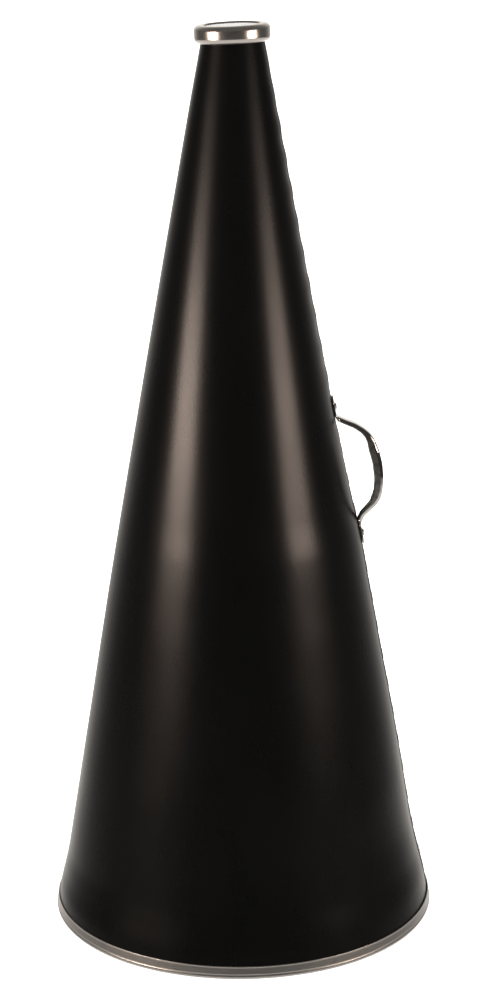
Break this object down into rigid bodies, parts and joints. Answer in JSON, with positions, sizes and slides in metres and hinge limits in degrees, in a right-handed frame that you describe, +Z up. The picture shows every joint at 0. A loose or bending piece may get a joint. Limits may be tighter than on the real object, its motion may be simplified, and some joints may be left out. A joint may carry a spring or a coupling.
{
  "type": "cheer megaphone",
  "caption": "Tall cone-shaped voice megaphone of rolled black sheet, with a chrome mouthpiece ring, a metal-bound bell and a riveted chrome side handle.",
  "frame": {"origin": "centre of the bell's open end, on the floor it stands on", "axes": "+Z up the cone to the mouthpiece, +X towards the lapped seam and the handle"},
  "size_m": [0.3518, 0.3518, 0.815],
  "materials": {
    "body": "satin black sheet",
    "staples": "blackened flat wire",
    "rim": "satin",
    "rivets": "bright plated",
    "mouthpiece": "polished plate",
    "handle": "polished plate",
    "washers": "plain zinc"
  },
  "bodies": {
    "root": {"cone_sheet": "body", "seam_staples": "staples", "bell_rim": "rim", "rim_end_rivets": "rivets", "mouthpiece_ring": "mouthpiece", "handle": "handle", "handle_rivets": "rivets", "handle_washers": "washers"}
  },
  "joints": []
}
